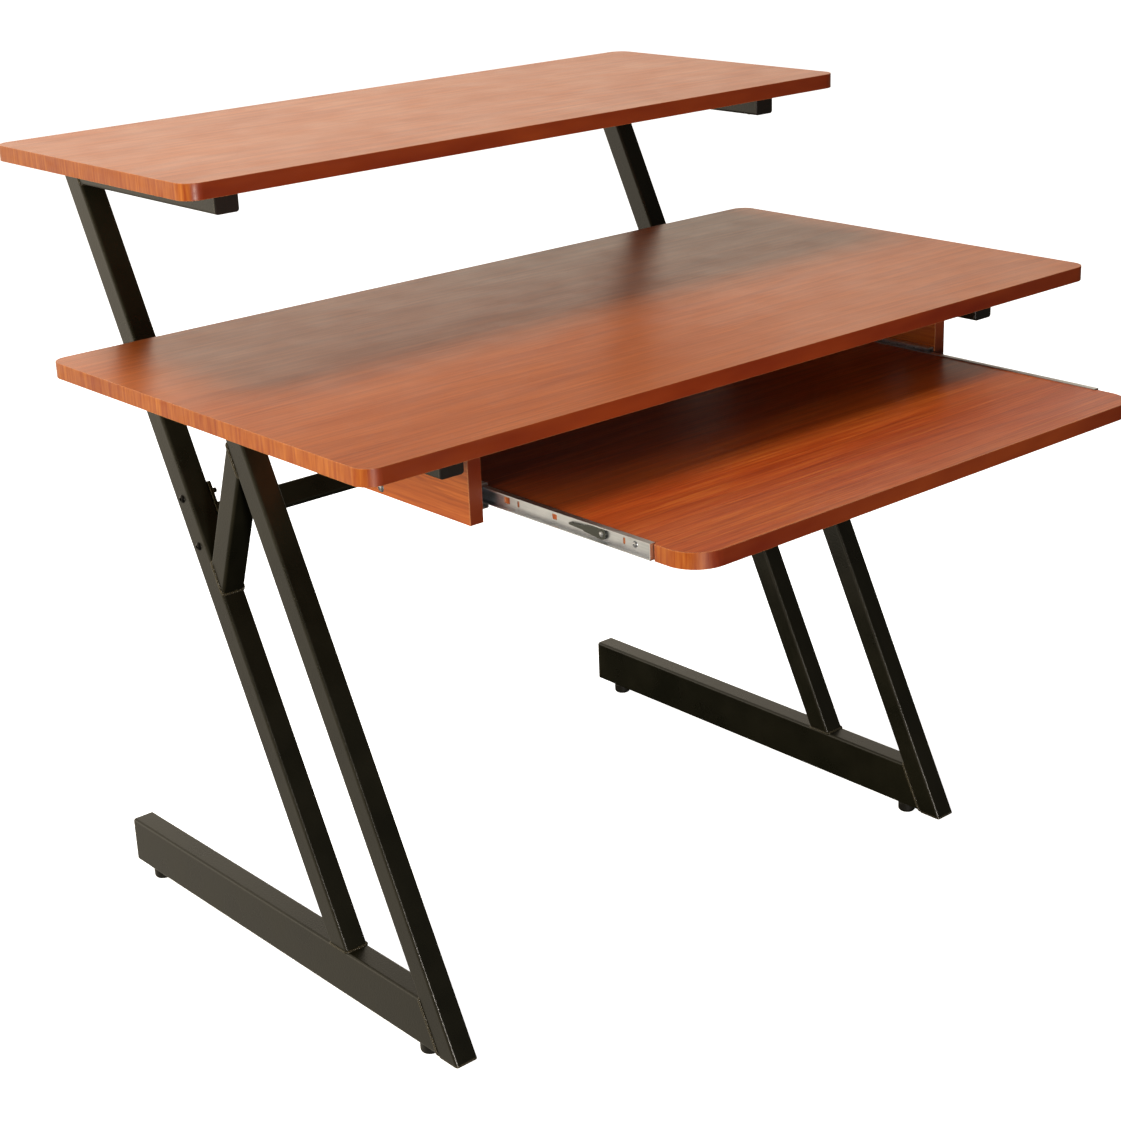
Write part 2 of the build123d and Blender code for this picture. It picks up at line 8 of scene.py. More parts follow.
# %% Load the frame
import math

import bpy
from mathutils import Matrix, Vector
from mathutils.geometry import convex_hull_2d


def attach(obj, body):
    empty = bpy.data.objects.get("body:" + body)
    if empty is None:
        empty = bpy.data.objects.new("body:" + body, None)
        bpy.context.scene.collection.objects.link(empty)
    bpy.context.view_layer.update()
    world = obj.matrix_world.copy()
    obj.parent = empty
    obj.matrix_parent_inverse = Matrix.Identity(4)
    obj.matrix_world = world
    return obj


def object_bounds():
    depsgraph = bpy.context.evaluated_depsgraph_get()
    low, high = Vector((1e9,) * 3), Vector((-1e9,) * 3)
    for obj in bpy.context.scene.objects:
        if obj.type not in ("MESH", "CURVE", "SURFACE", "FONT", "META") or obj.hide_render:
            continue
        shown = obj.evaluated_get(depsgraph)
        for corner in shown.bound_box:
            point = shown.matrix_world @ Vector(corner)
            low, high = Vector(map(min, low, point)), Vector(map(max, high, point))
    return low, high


MM = 0.001
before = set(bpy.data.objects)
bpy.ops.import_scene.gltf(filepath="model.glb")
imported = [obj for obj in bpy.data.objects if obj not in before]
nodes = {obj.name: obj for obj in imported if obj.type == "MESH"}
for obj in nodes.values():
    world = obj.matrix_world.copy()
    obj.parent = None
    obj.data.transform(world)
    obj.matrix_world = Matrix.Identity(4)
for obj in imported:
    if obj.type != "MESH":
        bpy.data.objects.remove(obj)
cad_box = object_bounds()
print("overall size in mm", [round(high / MM - low / MM) for low, high in zip(*cad_box)])

# %% [markdown]
# ## The camera
# A camera could be aimed by hand until the desk looks right. Here its place and its three turns were worked
# out from the desk's own straight edges, so they are written down as one position and three angles. It
# stands to the left of the desk and in front of it, 0.4 m above the shelf, and looks down by about 21
# degrees. The small shift moves the frame without turning the camera.
#
# The CAD parts are in the scene already. Everything that this script adds goes in by way of `show`.

# %% Camera
CAMERA_PLACE = (-1.60396, -1.78604, 1.34036)
CAMERA_HEADING = 0.71378  # radians, from straight back towards the right
CAMERA_TILT = 0.35870  # radians, down from level
CAMERA_ROLL = -0.03759  # radians
FOCAL_LENGTH = 67.95  # millimetres
SENSOR_WIDTH = 36  # millimetres
SHIFT_ACROSS = -0.0147  # shares of the frame's width
SHIFT_UP = 0.0023


def show(name, data):
    """A new object in the scene that holds this mesh, curve, lamp or camera."""
    made = bpy.data.objects.new(name, data)
    bpy.context.scene.collection.objects.link(made)
    return made


forward = Vector((
    math.sin(CAMERA_HEADING) * math.cos(CAMERA_TILT),
    math.cos(CAMERA_HEADING) * math.cos(CAMERA_TILT),
    -math.sin(CAMERA_TILT),
))
level_right = Vector((math.cos(CAMERA_HEADING), -math.sin(CAMERA_HEADING), 0))
level_up = level_right.cross(forward)
right = level_right * math.cos(CAMERA_ROLL) + level_up * math.sin(CAMERA_ROLL)
up = level_up * math.cos(CAMERA_ROLL) - level_right * math.sin(CAMERA_ROLL)

camera_data = bpy.data.cameras.new("camera")
camera_data.sensor_width = SENSOR_WIDTH
camera_data.lens = FOCAL_LENGTH
camera_data.shift_x = SHIFT_ACROSS
camera_data.shift_y = SHIFT_UP
camera = show("camera", camera_data)
turn = Matrix((right, up, -forward)).transposed()
camera.matrix_world = Matrix.Translation(CAMERA_PLACE) @ turn.to_4x4()
bpy.context.scene.camera = camera
desk_middle = (Vector(cad_box[0]) + Vector(cad_box[1])) / 2
print("camera", round((camera.location - desk_middle).length, 2), "m from the desk's middle")

# %% [markdown]
# ## Three small helpers for materials
# Paint charts and colour pickers give sRGB values, but a shader adds light in linear values, so one function
# turns a hex colour into linear. The second adds one node, with its settings and with what goes into each of
# its sockets, which is either a plain value or another node's output. It hands back the output to use next.
# The third starts a material whose single shader has its constant values set on its own sockets.
#
# A Mix node has several sockets with the same name, so its colour sockets are called by number.

# %% Helpers for materials
SHARE, UNDER, OVER = 0, 6, 7
MIXED = 2


def linear(hex_colour):
    """An sRGB colour such as "#a8562b" as linear red, green, blue and alpha."""
    channels = [int(hex_colour[start:start + 2], 16) / 255 for start in (1, 3, 5)]
    return (*[c / 12.92 if c <= 0.04045 else ((c + 0.055) / 1.055) ** 2.4 for c in channels], 1)


def add_node(material, kind, sockets=None, output=0, **settings):
    """Add a node, give each named or numbered socket a value or a link, and return one of its outputs."""
    made = material.node_tree.nodes.new(kind)
    for setting, value in settings.items():
        setattr(made, setting, value)
    for socket, value in (sockets or {}).items():
        if isinstance(value, bpy.types.NodeSocket):
            material.node_tree.links.new(value, made.inputs[socket])
        else:
            made.inputs[socket].default_value = value
    return made.outputs[output]


def start_finish(name, **constants):
    """A new material with one Principled shader, and that shader's constant values set on its sockets."""
    material = bpy.data.materials.new(name)
    material.use_nodes = True
    shader = material.node_tree.nodes["Principled BSDF"]
    for socket, value in constants.items():
        shader.inputs[socket.replace("_", " ")].default_value = value
    return material, shader


print("half-way grey in sRGB is", round(linear("#808080")[0], 3), "in linear light")

# %% [markdown]
# ## Patterns that every finish is built from
# Everything on the desk is made to a real size, so a pattern is laid out in millimetres on the object itself.
# `grain` stretches a cloudy noise until one cell is as long, wide and thick as its three numbers say. Long
# thin cells are wood grain or brushing, and round cells are mould texture, dust or smears.
#
# Worn or thin edges show paler, because a coating draws back from a sharp edge, and the pale edge is also a
# painted highlight that stands for the bright line light draws along a rounded edge. The function below finds
# them by comparing the real surface direction with one that is rounded over a small radius. The dot product
# of the two is 1 on a flat face and falls only at edges.

# %% Grain, and edges that are worn and highlit
FLAT_ENOUGH = 0.995
CLEARLY_AN_EDGE = 0.90


def grain(material, cell, low=0.3, high=0.7, detail=3.0, roughness=0.5):
    """A cloudy pattern from 0 to 1 whose cells are this many millimetres along X, Y and Z."""
    place = add_node(material, "ShaderNodeTexCoord", output="Object")
    scale = [1 / (size * MM) for size in cell]
    stretched = add_node(material, "ShaderNodeMapping", {"Vector": place, "Scale": scale})
    look = {"Vector": stretched, "Scale": 1.0, "Detail": detail, "Roughness": roughness}
    clouds = add_node(material, "ShaderNodeTexNoise", look)
    return add_node(material, "ShaderNodeMapRange", {"Value": clouds, "From Min": low, "From Max": high})


def worn_and_highlit_edges(material, radius, share):
    """0 on a flat face, and up to the share along an edge, within this many millimetres."""
    rounded = add_node(material, "ShaderNodeBevel", {"Radius": radius * MM}, samples=4)
    true_normal = add_node(material, "ShaderNodeNewGeometry", output="Normal")
    both = {0: rounded, 1: true_normal}
    likeness = add_node(material, "ShaderNodeVectorMath", both, output="Value", operation="DOT_PRODUCT")
    edge = {"Value": likeness, "From Min": FLAT_ENOUGH, "From Max": CLEARLY_AN_EDGE, "To Max": share}
    return add_node(material, "ShaderNodeMapRange", edge)


# Fully worn here means fully pale at the edge, which is wear and a painted highlight together.
print("an edge is fully worn where it turns by", round(math.degrees(math.acos(CLEARLY_AN_EDGE))), "degrees")

# %% [markdown]
# ## Laying on colour, and the last step of every finish
# A print or a film is rarely one colour. `lay_over` puts a second colour over the first where a pattern is
# high, as a printer lays one ink over another.
#
# The last step is the same for every finish, so `dress` does it: it mixes the pale edge, which is wear and a
# painted highlight, into the colour, and sends the colour, the roughness and a small relief to the shader.

# %% Laying on colour
def lay_over(material, under, pattern, share, over):
    """A second colour laid over the first where the pattern is high, and at most by this share."""
    cover = add_node(material, "ShaderNodeMath", {0: pattern, 1: share}, operation="MULTIPLY")
    layer = {SHARE: cover, UNDER: under, OVER: linear(over)}
    return add_node(material, "ShaderNodeMix", layer, MIXED, data_type="RGBA")


def dress(material, shader, colour, edge, edge_colour, smears, roughness, relief, depth):
    """Send colour, roughness and relief to the shader. The relief is up to `depth` millimetres deep."""
    worn_and_highlit = {SHARE: edge, UNDER: colour, OVER: linear(edge_colour)}
    whole_colour = add_node(material, "ShaderNodeMix", worn_and_highlit, MIXED, data_type="RGBA")
    least, most = roughness
    gloss = add_node(material, "ShaderNodeMapRange", {"Value": smears, "To Min": least, "To Max": most})
    bump = add_node(material, "ShaderNodeBump", {"Height": relief, "Distance": depth * MM, "Strength": 1.0})
    material.node_tree.links.new(whole_colour, shader.inputs["Base Color"])
    material.node_tree.links.new(gloss, shader.inputs["Roughness"])
    material.node_tree.links.new(bump, shader.inputs["Normal"])
    print("finish", material.name, "with", len(material.node_tree.nodes), "nodes")


# %% [markdown]
# ## Melamine laminate with a cherry print
# The boards are particle board, pressed under a paper that is printed with cherry grain and sealed in
# melamine resin. Resin has an IOR of about 1.5 and is pressed against a satin plate, so the gloss is soft:
# roughness is near 0.33. The print has three scales. Growth rings about 24 mm apart run along the board in
# long flames, fine streaks a few millimetres wide lie inside them, and pores are short dark dashes. Real
# pores are 0.2 mm wide, which is too fine to show, so they are drawn 1.2 mm wide. The plate also presses the
# pores in, so they are in the relief too.
#
# An image of the print would be the usual way. A print made from noise needs no image, has no seams, and each
# board gets its own piece of it, because the noise fills space and the boards are in different places.
#
# The rings come first. Position across the board, counted in rings, is pushed sideways by a very long soft
# noise, and the fraction of the count rises slowly through each ring and drops at the end of it, as wood does
# from pale spring growth to a dark autumn line.

# %% Growth rings
RING_PITCH = 24  # millimetres
RING_SWING = 6.5  # how many rings the flames may push sideways
FLAME_WIDTH, FLAME_LENGTH = 120, 900  # millimetres
SPRING_ENDS, DARK_LINE = 0.3, 0.95  # shares of one ring


def along_grain(grain_along, width, length):
    """A cell in millimetres that is this long with the grain and this wide in the other directions."""
    cell = [width] * 3
    cell["xy".index(grain_along)] = length
    return cell


def growth_rings(material, grain_along):
    """0 in spring wood and 1 at a ring's dark line, with the grain along X or along Y."""
    flame_cell = along_grain(grain_along, FLAME_WIDTH, FLAME_LENGTH)
    flames = grain(material, flame_cell, low=0.0, high=1.0, detail=2.0)
    place = add_node(material, "ShaderNodeTexCoord", output="Object")
    in_rings = {"Vector": place, "Scale": [1 / (RING_PITCH * MM)] * 3}
    counted = add_node(material, "ShaderNodeMapping", in_rings)
    across = {"x": "Y", "y": "X"}[grain_along]
    split = add_node(material, "ShaderNodeSeparateXYZ", {0: counted}, output=across)
    push = {0: flames, 1: RING_SWING, 2: split}
    swung = add_node(material, "ShaderNodeMath", push, operation="MULTIPLY_ADD")
    ring = add_node(material, "ShaderNodeMath", {0: swung}, operation="FRACT")
    rise = {"Value": ring, "From Min": SPRING_ENDS, "From Max": DARK_LINE}
    fall = {"Value": ring, "From Min": 1.0, "From Max": DARK_LINE}
    rising = add_node(material, "ShaderNodeMapRange", rise)
    falling = add_node(material, "ShaderNodeMapRange", fall)
    return add_node(material, "ShaderNodeMath", {0: rising, 1: falling}, operation="MULTIPLY")


print("rings", RING_PITCH, "mm apart, darkest", round(RING_PITCH * (1 - DARK_LINE), 1), "mm before their end")

# %% [markdown]
# ## The print on a board
# The board's colour is laid down as a printer would: a base that follows the fine streaks, the rings over it
# in the darkest ink, broad pale clouds that break up the sameness, and the pores last of all. Smears from
# hands and cloths change only the gloss.

# %% Cherry laminate
STREAK_WIDTH, STREAK_LENGTH = 2.8, 150  # millimetres, as all four sizes here
CLOUD_WIDTH, CLOUD_LENGTH = 90, 420
PORE_WIDTH, PORE_LENGTH = 1.2, 26
SMEAR = (60, 45, 45)


def cherry_laminate(name, dark, middle, pale, grain_along="x"):
    """A printed board. The grain runs along X, or along Y where the board stands on edge."""
    material, shader = start_finish(name, IOR=1.5)
    streak_cell = along_grain(grain_along, STREAK_WIDTH, STREAK_LENGTH)
    cloud_cell = along_grain(grain_along, CLOUD_WIDTH, CLOUD_LENGTH)
    pore_cell = along_grain(grain_along, PORE_WIDTH, PORE_LENGTH)
    streaks = grain(material, streak_cell, low=0.25, high=0.75, detail=4.0, roughness=0.6)
    clouds = grain(material, cloud_cell, low=0.35, high=0.68, detail=2.0)
    pores = grain(material, pore_cell, low=0.56, high=0.74, detail=1.0)
    rings = growth_rings(material, grain_along)

    printed = add_node(material, "ShaderNodeValToRGB", {"Fac": streaks})
    inks = printed.node.color_ramp.elements
    inks[0].color = linear(dark)
    inks[1].color = linear(pale)
    inks.new(0.5).color = linear(middle)
    for pattern, share, ink in ((rings, 0.42, dark), (clouds, 0.22, pale), (pores, 0.5, dark)):
        printed = lay_over(material, printed, pattern, share, ink)

    # The pale edge is partly wear and partly a painted highlight along the board's rounded arrises.
    edge = worn_and_highlit_edges(material, radius=0.8, share=0.4)
    pressed_in = add_node(material, "ShaderNodeMath", {0: 1.0, 1: pores}, operation="SUBTRACT")
    smears = grain(material, SMEAR, detail=2.0)
    surface = {"roughness": (0.31, 0.36), "relief": pressed_in, "depth": 0.05}
    dress(material, shader, printed, edge, "#dfa06c", smears, **surface)
    return material


boards_print = cherry_laminate("cherry_print_melamine", "#85380f", "#a9511b", "#ba652a")
tray_print = cherry_laminate("cherry_print_melamine_tray", "#7f2c0c", "#aa4416", "#c66c29")
panel_print = cherry_laminate("cherry_print_melamine_panel", "#8a3a12", "#b35a1f", "#c97233", grain_along="y")

# %% [markdown]
# ## Edge tape with a cherry print
# The boards' edges are closed with a 1 mm tape of PVC, printed like the boards and trimmed flush, with its
# corners scraped to a small radius. PVC has an IOR of 1.53 and this tape is a little duller than the boards.
# Its print is plainer: short streaks run across the tape at the ends of the boards, in a paler and more
# orange ink, and along the front they merge into one even dark red. That paler ink at the ends and the
# darker front are partly the print and partly painted light, the ends drawn as lit faces and the front as a
# face turned from the light. The two inks blend round the corners, so the direction of the surface mixes
# them. A scraped corner is paler still, partly from wear and partly as a painted highlight, so the worn edge
# is strong here.

# %% Edge tape
CORNER_STARTS, CORNER_ENDS = 0.25, 0.8  # how much of the surface's direction is sideways
TAPE_STREAK = (240, 4, 60)  # millimetres along X, Y and Z
TAPE_DRIFT = (180, 60, 90)
TAPE_SCUFF = (25, 25, 8)


def edge_tape(name, front, end):
    """The printed tape round a board. `front` and `end` are the dark and pale inks on those edges; the end
    inks are partly painted light.
    """
    material, shader = start_finish(name, IOR=1.53)
    streaks = grain(material, TAPE_STREAK, detail=3.0, roughness=0.6)
    drift = grain(material, TAPE_DRIFT, low=0.35, detail=2.0)
    # The paler ends and the darker front are partly print and partly painted light, as lit and shaded faces.
    print_and_painted_light = []
    for dark, pale in (front, end):
        streaked = {SHARE: streaks, UNDER: linear(dark), OVER: linear(pale)}
        print_and_painted_light.append(add_node(material, "ShaderNodeMix", streaked, MIXED, data_type="RGBA"))
    normal = add_node(material, "ShaderNodeNewGeometry", output="Normal")
    sideways = add_node(material, "ShaderNodeSeparateXYZ", {0: normal}, output="X")
    to_either_side = add_node(material, "ShaderNodeMath", {0: sideways}, operation="ABSOLUTE")
    corner = {"Value": to_either_side, "From Min": CORNER_STARTS, "From Max": CORNER_ENDS}
    turning = add_node(material, "ShaderNodeMapRange", corner)
    lit_ends_shaded_front = {SHARE: turning, UNDER: print_and_painted_light[0], OVER: print_and_painted_light[1]}
    printed = add_node(material, "ShaderNodeMix", lit_ends_shaded_front, MIXED, data_type="RGBA")
    drifted = lay_over(material, printed, drift, 0.35, front[0])
    scuffs = grain(material, TAPE_SCUFF)
    edge = worn_and_highlit_edges(material, radius=0.9, share=0.65)
    surface = {"roughness": (0.34, 0.46), "relief": streaks, "depth": 0.04}
    dress(material, shader, drifted, edge, "#e2a06a", scuffs, **surface)
    return material


# The end inks, the second pair, are paler partly as painted light.
tape = edge_tape("cherry_print_pvc_tape", ("#74200d", "#a1461b"), ("#8c3a12", "#b86e30"))
panel_tape = edge_tape("cherry_print_pvc_tape_panel", ("#742811", "#98451f"), ("#8a3a16", "#b05f28"))

# %% [markdown]
# ## Black powder coat on steel tube
# The frame is sprayed with powder and baked, which leaves a film of polyester about 0.08 mm thick. It is a
# plastic film, not bare metal, so metallic is 0 and the IOR is 1.5. It flows into an orange peel of shallow
# bumps about 2 mm across, and it looks semi-gloss, near 0.29. The black has a little olive in it where light
# grazes it. Powder thins over corners, so they are slightly greyer, and that grey edge is also a painted
# highlight along the rounded corners of the tubes.

# %% Powder coat
def powder_coat(name):
    """Semi-gloss black powder coat."""
    material, shader = start_finish(name, IOR=1.5)
    patches = grain(material, (60, 60, 60))
    film_mix = {SHARE: patches, UNDER: linear("#12120c"), OVER: linear("#1a1911")}
    film = add_node(material, "ShaderNodeMix", film_mix, MIXED, data_type="RGBA")
    peel = grain(material, (2.2, 2.2, 2.2), detail=1.0)
    edge = worn_and_highlit_edges(material, radius=2.2, share=0.35)
    surface = {"roughness": (0.25, 0.33), "relief": peel, "depth": 0.05}
    dress(material, shader, film, edge, "#847a66", patches, **surface)
    return material


coat = powder_coat("black_powder_coat")

# %% [markdown]
# ## Zinc-plated steel
# The slides, brackets and small screws are pressed steel with bright zinc plate. It is a bare metal, so
# metallic is 1 and its colour is the reflection's colour, a slightly blue grey. Rolling and drawing leave
# fine lines along the slide, 0.3 mm apart in truth and 1 mm here so that they show. Handling leaves dull
# patches.

# %% Zinc plate
def zinc_plate(name):
    """Bright zinc plate with drawing lines that run from front to back."""
    material, shader = start_finish(name, Metallic=1.0)
    lines = grain(material, (1, 80, 1), low=0.35)
    patches = grain(material, (14, 22, 14))
    plate_mix = {SHARE: patches, UNDER: linear("#dbe0e6"), OVER: linear("#eef2f7")}
    plate = add_node(material, "ShaderNodeMix", plate_mix, MIXED, data_type="RGBA")
    lined = lay_over(material, plate, lines, 0.2, "#9ca1a6")
    # The bright edge is partly wear and partly a painted highlight on the plate.
    edge = worn_and_highlit_edges(material, radius=0.5, share=0.6)
    surface = {"roughness": (0.28, 0.44), "relief": lines, "depth": 0.01}
    dress(material, shader, lined, edge, "#f6f5ef", patches, **surface)
    return material


zinc = zinc_plate("zinc_plated_steel")

# %% [markdown]
# ## Moulded black plastic, black oxide screws and steel balls
# The plugs, glides, pads and levers are moulded plastic: IOR 1.53 for nylon and 1.48 for acetal, with a fine
# spark-eroded grain from the mould that makes it matte. The bolts are steel with a black oxide, which is thin
# enough to stay metallic. The balls are polished bearing steel, the brightest thing here and hardly ever
# seen. The real grains are 0.1 mm or less, and they are drawn 0.6 to 2 mm across so that they show.

# %% Small parts' finishes
def grained(name, dark, pale, grain_size, roughness, edge_colour, edge_width, **constants):
    """A finish with fine grain: its colours, grain size in millimetres, roughness range and worn edges."""
    material, shader = start_finish(name, **constants)
    grit = grain(material, [grain_size] * 3)
    body_mix = {SHARE: grit, UNDER: linear(dark), OVER: linear(pale)}
    body = add_node(material, "ShaderNodeMix", body_mix, MIXED, data_type="RGBA")
    # The pale edge is partly wear and partly a painted highlight.
    edge = worn_and_highlit_edges(material, radius=edge_width, share=0.5)
    dress(material, shader, body, edge, edge_colour, grit, roughness, relief=grit, depth=0.02)
    return material


nylon = grained("black_moulded_nylon", "#12110f", "#1d1c19", 0.8, (0.42, 0.55), "#3f3c35", 0.6, IOR=1.53)
lever_plastic = grained("grey_black_acetal", "#2c2e2c", "#3c3e3b", 0.8, (0.35, 0.5), "#6b6e6a", 0.5, IOR=1.48)
oxide = grained("black_oxide_steel", "#2b2a29", "#3b3a38", 0.6, (0.3, 0.42), "#9a9894", 0.5, Metallic=1.0)
bearing_steel = grained(
    "polished_bearing_steel", "#c9cbce", "#dcdee0", 2.0, (0.08, 0.14), "#f2f2f2", 0.3, Metallic=1.0
)

# %% [markdown]
# ## Give every CAD part its finish
# The CAD parts keep their meshes. Only what is in their material slots changes, so the table below pairs each
# finish with the parts that wear it.

# %% Finishes on the CAD parts
FRAME_PIECES = ("rear_leg", "front_leg", "v_brace", "foot_rail", "desk_arm", "shelf_arm", "crossbar_plate")
SIDES = ("left", "right")
worn_by = {
    boards_print: ["desktop_board", "shelf_board"],
    tray_print: ["tray_board"],
    panel_print: ["left_side_panel", "right_side_panel"],
    tape: ["desktop_edge_band", "shelf_edge_band", "tray_edge_band"],
    panel_tape: ["side_panel_bands"],
    coat: ["crossbar"] + [f"{side}_{piece}" for side in SIDES for piece in FRAME_PIECES],
    zinc: [
        "glide_inserts", "panel_brackets", "bracket_top_screws", "bracket_side_screws", "panel_cap_screws",
        "cabinet_member_screws", "drawer_member_screws", "lever_rivets",
    ] + [f"{side}_{part}" for side in SIDES for part in ("cabinet_member", "drawer_member", "ball_cage")],
    nylon: [
        "desk_arm_pads", "desk_arm_plugs", "shelf_arm_plugs", "foot_rail_plugs", "front_leg_plugs",
    ] + [f"{side}_{end}_glide" for side in SIDES for end in ("front", "rear")],
    lever_plastic: [f"{side}_release_lever" for side in SIDES],
    oxide: ["crossbar_bolts", "crossbar_nuts", "desktop_screws", "shelf_screws"],
    bearing_steel: [f"{side}_slide_balls" for side in SIDES],
}
for finish, names in worn_by.items():
    for name in names:
        nodes[name].data.materials.clear()
        nodes[name].data.materials.append(finish)
unfinished = set(nodes) - {name for names in worn_by.values() for name in names}
print("nodes without a finish:", sorted(unfinished))

# %% [markdown]
# ## Weld beads
# Each side frame is six tubes welded end to face. A weld is a small bead of metal that follows the end of the
# tube where it meets its neighbour, with ripples where the torch paused, and the powder coat covers it. The
# CAD leaves the beads out, so they are made here.
#
# A bead could be drawn by hand, corner by corner. It is surer to read the tube itself: the points of its mesh
# that lie furthest along the joint's direction are its cut end, and their outline is the path of the bead. A
# curve follows that path, and its thickness goes up and down every few millimetres to make the ripples.

# %% Weld path
LEG_LEAN = math.radians(26.5)
SAME_FACE = 0.05  # millimetres
down = Vector((0, 0, -1))
lean_forward = Vector((0, -math.cos(LEG_LEAN), math.sin(LEG_LEAN)))
WELDS = {
    "rear_leg": [down],
    "front_leg": [-down],
    "foot_rail": [lean_forward],
    "desk_arm": [-lean_forward],
    "shelf_arm": [-lean_forward],
    "v_brace": [lean_forward, -lean_forward],
}


def cut_end_outline(node, direction):
    """The outline of a tube's cut end, which is its furthest face along the direction."""
    points = [vertex.co.copy() for vertex in node.data.vertices]
    furthest = max(point.dot(direction) for point in points)
    across = Vector((1, 0, 0))
    along = direction.cross(across)
    face = [point for point in points if furthest - point.dot(direction) < SAME_FACE * MM]
    flat = [(point.dot(across), point.dot(along)) for point in face]
    return [face[index] for index in convex_hull_2d(flat)]


def evenly(points, pitch):
    """A closed path of points, divided so that no step is longer than the pitch."""
    divided = []
    for start, end in zip(points, points[1:] + points[:1]):
        steps = max(1, math.ceil((end - start).length / pitch))
        divided += [start.lerp(end, step / steps) for step in range(steps)]
    return divided


print(sum(len(directions) for directions in WELDS.values()), "welds on each side frame")

# %% [markdown]
# ## Laying the beads
# The path is a closed curve with a round section. Turning it into a mesh once, at the end, keeps each side's
# beads as one light object that rides with the frame and wears the same powder coat.

# %% Beads
BEAD_RADIUS = 1.7  # millimetres
RIPPLE_PITCH = 2.6  # millimetres
RIPPLE = 0.14  # share of the radius
STEPS_PER_RIPPLE = 4


def weld_beads(side):
    """All the beads of one side frame, as one mesh."""
    name = f"{side}_weld_beads"
    step = RIPPLE_PITCH / STEPS_PER_RIPPLE * MM
    curve = bpy.data.curves.new(name, "CURVE")
    curve.dimensions = "3D"
    curve.bevel_depth = BEAD_RADIUS * MM
    curve.bevel_resolution = 3
    for tube, directions in WELDS.items():
        for direction in directions:
            path = evenly(cut_end_outline(nodes[f"{side}_{tube}"], direction), step)
            spline = curve.splines.new("POLY")
            spline.points.add(len(path) - 1)
            spline.use_cyclic_u = True
            for place, (point, target) in enumerate(zip(path, spline.points)):
                target.co = (*point, 1)
                target.radius = 1 + RIPPLE * math.sin(place * math.tau / STEPS_PER_RIPPLE)
    shape = show("bead_curve", curve)
    mesh = bpy.data.meshes.new_from_object(shape.evaluated_get(bpy.context.evaluated_depsgraph_get()))
    bpy.data.objects.remove(shape)
    mesh.name = name
    mesh.shade_smooth()
    mesh.materials.clear()
    mesh.materials.append(coat)
    beads = show(name, mesh)
    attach(beads, "root")
    print(name, "has", len(curve.splines), "beads and", len(mesh.polygons), "faces")


for side in SIDES:
    weld_beads(side)

# %% [markdown]
# ## Floor
# The desk stands on the pale, matt floor of a white studio, large enough that its end is never seen. A
# painted floor is faintly mottled by rolling. Its own glow stands for all the light that a whole white room
# throws back at it. It is hidden from soft bounces, or it would light the undersides of the boards too
# strongly, and from gloss, which sees the surround instead. Matt paint has an IOR near 1.5, and 1.3 here
# keeps a sheen from forming far away.

# %% Floor
FLOOR_REACH = 30


def flat_sheets(name, sheets, cloth):
    """One object made of flat sheets, each given by its four corners in metres."""
    corners = [corner for sheet in sheets for corner in sheet]
    faces = [tuple(range(first, first + 4)) for first in range(0, len(corners), 4)]
    mesh = bpy.data.meshes.new(name)
    mesh.from_pydata(corners, [], faces)
    mesh.materials.append(cloth)
    return show(name, mesh)


floor_paint, floor_shader = start_finish(
    "matt_white_floor", Roughness=0.9, IOR=1.3, Emission_Color=linear("#ffffff"), Emission_Strength=1.0
)
mottle = grain(floor_paint, (300, 300, 300), detail=2.0)
paint_mix = {SHARE: mottle, UNDER: linear("#fbfbfa"), OVER: linear("#ffffff")}
paint_colour = add_node(floor_paint, "ShaderNodeMix", paint_mix, MIXED, data_type="RGBA")
floor_paint.node_tree.links.new(paint_colour, floor_shader.inputs["Base Color"])
floor_corners = [(FLOOR_REACH * x, FLOOR_REACH * y, 0) for x, y in ((-1, -1), (1, -1), (1, 1), (-1, 1))]
floor = flat_sheets("floor", [floor_corners], floor_paint)
floor.visible_diffuse = False
floor.visible_glossy = False
print("floor", 2 * FLOOR_REACH, "m square")

# %% [markdown]
# ## The shade under the desk
# Gloss on the inner sides of the tubes mirrors the floor under the desk, and gloss on the tray mirrors what
# lies behind it. Both places are in the desk's own shade, but gloss sees only the bright surround there. So
# two dark sheets stand in for the shade: one on the floor, and one upright behind the tray. Only gloss sees
# them.

# %% Shade
FLOOR_SHADE = [(-0.38, -0.45, 0), (0.60, -0.45, 0), (0.60, 1.30, 0), (-0.38, 1.30, 0)]
TRAY_SHADE = [(-0.34, 0.25, 0.60), (0.34, 0.25, 0.60), (0.34, 0.25, 0.73), (-0.34, 0.25, 0.73)]
shade_cloth = start_finish("dark_shade", Roughness=1.0, Base_Color=linear("#0d0d0c"))[0]
shade = flat_sheets("shade", [FLOOR_SHADE, TRAY_SHADE], shade_cloth)
shade.visible_camera = False
shade.visible_diffuse = False
shade.visible_shadow = False
print("shade on the floor", FLOOR_SHADE[1][0] - FLOOR_SHADE[0][0], "m wide")

# %% [markdown]
# ## Surround
# A studio's walls are not evenly lit. The far wall is bright, the ceiling is dimmer and the near side is
# unlit, which is what keeps the front faces of black tubes black while their tops and outer sides show a
# sheen. The surround is worked out from the direction of each ray, so it is light from a place in the room.
# It is brightest in a band near the horizon, where a long board seen at a low angle mirrors it as a pale
# haze.

